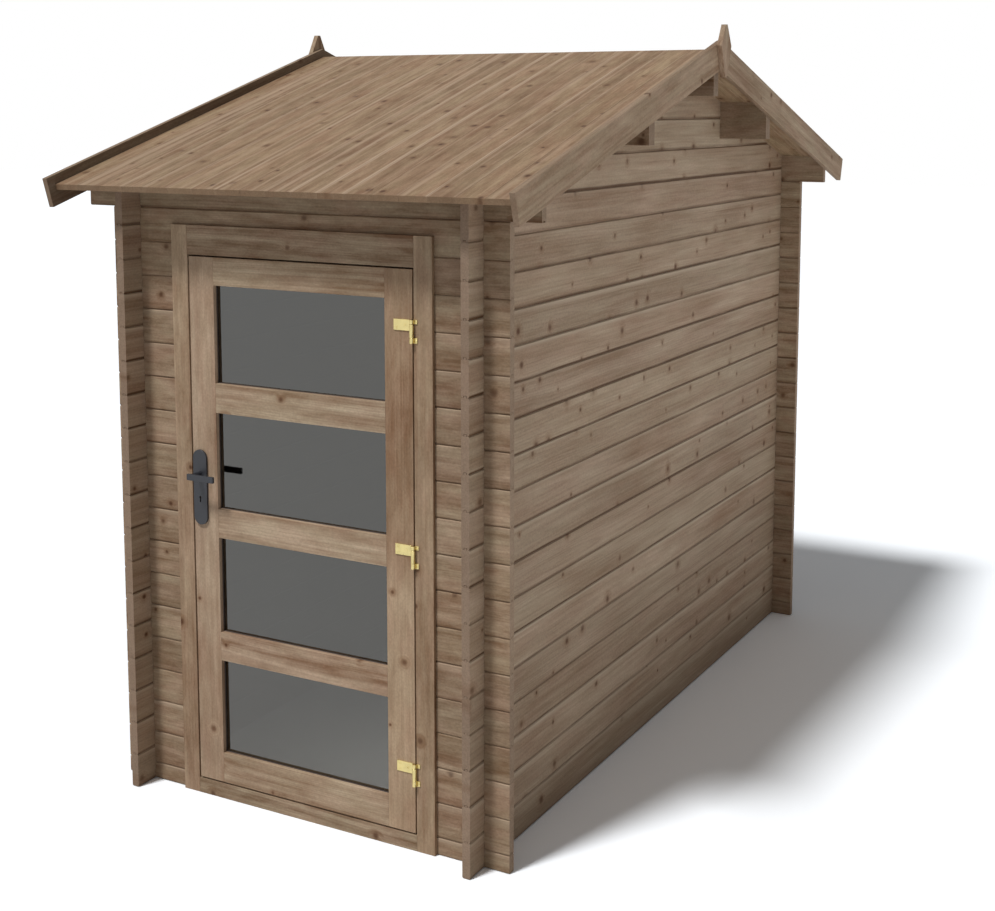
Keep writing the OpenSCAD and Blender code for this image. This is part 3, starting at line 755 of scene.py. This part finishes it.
class SHED_OT_roof_boards(bpy.types.Operator):
    """Lays the boards of both roof slopes, which stand for the plain decks"""
    bl_idname = "shed.roof_boards"
    bl_label = "Roof boards"

    def execute(self, context):
        roof = settings("roof")
        low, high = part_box("front_roof_deck")
        cover = (high.x - low.x) / roof.boards
        face_rise = RIDGE_TOP.z * math.cos(ROOF_PITCH)
        # Here grime paints a thin shadow along one side of each seam between boards
        finish = pine("roof board pine", "slope", "x", "rise", course=cover,
                      course_phase=-low.x / cover % 1, middle_depth=face_rise, pale_edge=0.9, grime_and_shade=0.35,
                      stripes=0.55, tint=(0.79, 0.745, 0.665), banding=0.4, clouds=8, knots=1.3, ends=1.25)
        draw = random.Random(7)
        for side, node in ((1, "front_roof_deck"), (-1, "rear_roof_deck")):
            points, faces = [], []
            for number in range(roof.boards):
                self.board(points, faces, low.x + number * cover, cover, side, roof, draw)
            piece = add_piece(node.replace("deck", "boards"), points, faces, finish, "shed")
            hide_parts(node)
        return {"FINISHED"}

    @staticmethod
    def board(points, faces, left, cover, side, roof, draw):
        """One board from the eave to the ridge, with chamfers along its four long edges."""
        cut = roof.chamfer
        thick = (EAVE_TOP - EAVE_FOOT).length
        start, stop = left + PLAY, left + cover - PLAY
        outline = [(start, cut), (start + cut, 0), (stop - cut, 0), (stop, cut),
                   (stop, thick - cut), (stop - cut, thick), (start + cut, thick), (start, thick - cut)]
        down = (EAVE_TOP - RIDGE_TOP).normalized()
        longer = draw.uniform(-roof.unevenness, 0)
        first = len(points)
        for x, lift in outline:
            share = lift / thick
            ridge = RIDGE_FOOT.lerp(RIDGE_TOP, share)
            eave = EAVE_FOOT.lerp(EAVE_TOP, share) + down * longer
            points.append((x, side * ridge.y, ridge.z))
            points.append((x, side * eave.y, eave.z))
        count = len(outline)
        for i in range(count):
            j = (i + 1) % count
            faces.append((first + 2 * i, first + 2 * i + 1, first + 2 * j + 1, first + 2 * j)[::side])
        faces.append(tuple(first + 2 * i for i in range(count))[::side])
        faces.append(tuple(first + 2 * i + 1 for i in range(count))[::-side])


class SHED_OT_gable_trim(bpy.types.Operator):
    """Finishes the bargeboards and finials"""
    bl_idname = "shed.gable_trim"
    bl_label = "Gable trim"

    def execute(self, context):
        middle_x = middle("right_front_bargeboard").x
        below_ridge = 0.02
        board_rise = (RIDGE_TOP.z - below_ridge) * math.cos(ROOF_PITCH)
        # Back paints shade on the bargeboards' inner faces and top edges, darker than their outer faces
        board = pine("bargeboard pine", "slope", "rise", "x", middle_across=board_rise,
                     middle_depth=middle_x, mirrored=True, banding=0.55, mottle=0.8, clouds=5, knots=0.6,
                     back=0.58)
        spike = pine("finial pine", "z", "y", "x", middle_depth=middle("right_finial").x, mirrored=True)
        dress(BARGEBOARDS, board)
        dress(FINIALS, spike)
        ease_edges(BARGEBOARDS + FINIALS, settings("timber").edge_round)
        return {"FINISHED"}


class SHED_OT_door_timber(bpy.types.Operator):
    """Finishes the door frame and the wood of the leaf"""
    bl_idname = "shed.door_timber"
    bl_label = "Door timber"

    def execute(self, context):
        jamb_at = middle("door_right_jamb")
        stile_at = middle("leaf_hinge_stile")
        panes = spans("leaf_glass")
        pane_step = panes[1][0] - panes[0][0]
        jamb = pine("jamb pine", "z", "x", "y", middle_across=jamb_at.x, middle_depth=jamb_at.y,
                    mirrored="across", tint=(1.06, 1.05, 1.04), banding=0.95, mottle=0.7, knots=0.35)
        head = pine("head pine", "x", "z", "y", middle_across=middle("door_head").z, middle_depth=jamb_at.y)
        sill = pine("sill pine", "x", "z", "y", middle_across=middle("door_sill").z, middle_depth=jamb_at.y)
        stile_form = {"middle_across": stile_at.x, "middle_depth": stile_at.y, "mirrored": "across",
                      "banding": 0.75, "mottle": 0.6, "knots": 0.35}
        lock_stile = pine("lock stile pine", "z", "x", "y", tint=(1.34, 1.36, 1.42), **stile_form)
        hinge_stile = pine("hinge stile pine", "z", "x", "y", tint=(1.28, 1.26, 1.24), **stile_form)
        rail = pine("rail pine", "x", "z", "y", course=pane_step, course_phase=0.2, middle_depth=stile_at.y,
                    tint=(1.26, 1.28, 1.32), banding=0.85, mottle=0.65, knots=0.45)
        finishes = {
            "door_left_jamb": jamb, "door_right_jamb": jamb, "door_head": head, "door_sill": sill,
            "leaf_lock_stile": lock_stile, "leaf_hinge_stile": hinge_stile, "leaf_rails": rail,
        }
        for node, finish in finishes.items():
            dress([node], finish)
        ease_edges(finishes, settings("timber").edge_round)
        return {"FINISHED"}


class SHED_OT_glazing(bpy.types.Operator):
    """Finishes the panes and lays a rubber seal round each"""
    bl_idname = "shed.glazing"
    bl_label = "Glazing"

    def execute(self, context):
        dress(["leaf_glass"], self.glass())
        fittings = settings("fittings")
        rubber = fitting_finish("black rubber", fittings.seal, roughness=0.6, metallic=0.0, grain=700,
                                bump_depth=0.0001)
        low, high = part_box("leaf_glass")
        sunk = high.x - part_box("leaf_hinge_stile")[0].x
        x_ends = (low.x + sunk, high.x - sunk)
        for side, name in ((-1, "outer_seals"), (1, "inner_seals")):
            points, faces = [], []
            face_y = high.y if side > 0 else low.y
            for foot, top in spans("leaf_glass"):
                self.strip(points, faces, x_ends, (foot + sunk, top - sunk), face_y, side)
            add_piece("pane_" + name, points, faces, rubber, "door")
        return {"FINISHED"}

    @staticmethod
    def strip(points, faces, x_ends, z_ends, face_y, side):
        """One seal: a strip that runs round the opening in front of the glass, with a bevelled lip."""
        fittings = settings("fittings")
        wide, deep = fittings.seal_width, fittings.seal_depth
        section = [(PLAY, PLAY), (PLAY, deep), (wide - SEAL_LIP, deep), (wide, deep - SEAL_LIP), (wide, PLAY)]
        first = len(points)
        corners = ((0, 0, 1, 1), (1, 0, -1, 1), (1, 1, -1, -1), (0, 1, 1, -1))
        for x_end, z_end, x_way, z_way in corners:
            for inset, out in section:
                x = x_ends[x_end] + x_way * inset
                z = z_ends[z_end] + z_way * inset
                points.append((x, face_y + side * out, z))
        count = len(section)
        for corner in range(len(corners)):
            here = first + corner * count
            there = first + (corner + 1) % len(corners) * count
            for i in range(count):
                j = (i + 1) % count
                faces.append((here + i, there + i, there + j, here + j)[::-side])

    @staticmethod
    def glass():
        """Dark tinted glass that mirrors strongly."""
        fittings = settings("fittings")
        material = bpy.data.materials.new("pane glass")
        material.use_nodes = True
        shader = material.node_tree.nodes["Principled BSDF"]
        shader.inputs["Base Color"].default_value = (*fittings.glass, 1)
        shader.inputs["Transmission Weight"].default_value = 1.0
        shader.inputs["Roughness"].default_value = 0.0
        shader.inputs["IOR"].default_value = fittings.mirror
        shader.inputs["Specular Tint"].default_value = (*fittings.mirror_tint, 1)
        return material


class SHED_OT_fittings(bpy.types.Operator):
    """Finishes the hinges, the handle and the spindle, and adds screw heads"""
    bl_idname = "shed.fittings"
    bl_label = "Hinges and handle"

    def execute(self, context):
        fittings = settings("fittings")
        brass = fitting_finish("plated brass", fittings.brass, roughness=0.30, metallic=1.0, grain=900,
                               bump_depth=0.00008)
        iron = fitting_finish("black iron", fittings.iron, roughness=0.42, metallic=0.0, grain=1400,
                              bump_depth=0.00012)
        steel = fitting_finish("bright steel", fittings.steel, roughness=0.35, metallic=1.0, grain=1200,
                               bump_depth=0.00004)
        dress(BRASS_NODES, brass)
        dress(IRON_NODES, iron)
        dress(["handle_spindle"], steel)
        ease_edges(BRASS_NODES, BRASS_ROUND)
        ease_edges(IRON_NODES, IRON_ROUND)
        self.hinge_screws(brass)
        self.plate_screws(iron)
        return {"FINISHED"}

    def hinge_screws(self, brass):
        """Three screws in each leaf plate and one in each tab on the jamb."""
        radius = settings("fittings").screw_radius
        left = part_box("hinge_leaf_plates")[0].x
        face_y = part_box("leaf_hinge_stile")[0].y - self.flap_thickness("hinge_leaf_plates", left)
        points, faces = [], []
        for number, (foot, top) in enumerate(spans("hinge_leaf_plates", left)):
            for turn, (along, up) in enumerate(LEAF_SCREWS):
                centre = (left + along, face_y, foot + up * (top - foot))
                self.screw(points, faces, centre, radius, number + 1.3 * turn)
        add_piece("hinge_plate_screws", points, faces, brass, "door")
        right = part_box("hinge_frame_knuckles")[1].x
        face_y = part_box("door_right_jamb")[0].y - self.flap_thickness("hinge_frame_knuckles", right)
        points, faces = [], []
        for number, (foot, top) in enumerate(spans("hinge_frame_knuckles", right)):
            centre = (right - TAB_SCREW_INSET, face_y, (foot + top) / 2)
            self.screw(points, faces, centre, TAB_SCREW_SHARE * radius, 0.9 * number)
        add_piece("hinge_tab_screws", points, faces, brass, "shed")

    @staticmethod
    def flap_thickness(node, x):
        """Thickness of a hinge's flat flap, read at its upright edge."""
        depths = [v.co.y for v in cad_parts[node].data.vertices if abs(v.co.x - x) < SAME_PLACE]
        return max(depths) - min(depths)

    def plate_screws(self, iron):
        """Two screws in the plate on the inner face of the door."""
        low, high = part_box("inner_handle_plate")
        points, faces = [], []
        for up in PLATE_SCREWS:
            centre = ((low.x + high.x) / 2, high.y, low.z + up * (high.z - low.z))
            self.screw(points, faces, centre, settings("fittings").screw_radius, 0.6 + up, side=1)
        add_piece("inner_plate_screws", points, faces, iron, "door")

    @staticmethod
    def screw(points, faces, centre, radius, turn, side=-1):
        """A low screw head as two half discs with the slot between them."""
        slot = 0.17 * radius
        steps = 10
        rings = ((1.0, -SCREW_SUNK), (1.0, 0.45 * SCREW_RISE), (0.8, SCREW_RISE))
        for half in (0, 1):
            first = len(points)
            for share, out in rings:
                reach = share * radius
                start = math.asin(slot / reach)
                for i in range(steps + 1):
                    angle = start + (math.pi - 2 * start) * i / steps + math.pi * half + turn
                    points.append((centre[0] + reach * math.cos(angle), centre[1] + side * out,
                                   centre[2] + reach * math.sin(angle)))
            count = steps + 1
            for ring in range(len(rings) - 1):
                base = first + ring * count
                for i in range(count):
                    j = (i + 1) % count
                    faces.append((base + i, base + count + i, base + count + j, base + j)[::-side])
            faces.append(tuple(range(first, first + count))[::side])
            faces.append(tuple(range(first + 2 * count, first + 3 * count))[::-side])


class SHED_PT_panel(bpy.types.Panel):
    """Lists the steps and settings of the shed"""
    bl_label = "Log garden shed"
    bl_idname = "SHED_PT_panel"
    bl_space_type = "VIEW_3D"
    bl_region_type = "UI"
    bl_category = "Shed"

    def draw(self, context):
        for step in STEPS:
            self.layout.operator(step.bl_idname)
        for name, group in SETTINGS.items():
            box = self.layout.box()
            box.label(text=name.capitalize())
            for key in group.__annotations__:
                box.prop(getattr(context.scene, "shed_" + name), key)


STEPS = [SHED_OT_stage, SHED_OT_log_walls, SHED_OT_roof_boards, SHED_OT_gable_trim, SHED_OT_door_timber,
         SHED_OT_glazing, SHED_OT_fittings]
CLASSES = [*SETTINGS.values(), *STEPS, SHED_PT_panel]


def register():
    for item in CLASSES:
        bpy.utils.register_class(item)
    for name, group in SETTINGS.items():
        setattr(bpy.types.Scene, "shed_" + name, PointerProperty(type=group))


def unregister():
    for name in SETTINGS:
        delattr(bpy.types.Scene, "shed_" + name)
    for item in reversed(CLASSES):
        bpy.utils.unregister_class(item)


def main():
    register()
    for step in STEPS:
        family, action = step.bl_idname.split(".")
        getattr(getattr(bpy.ops, family), action)()


if __name__ == "__main__":
    main()
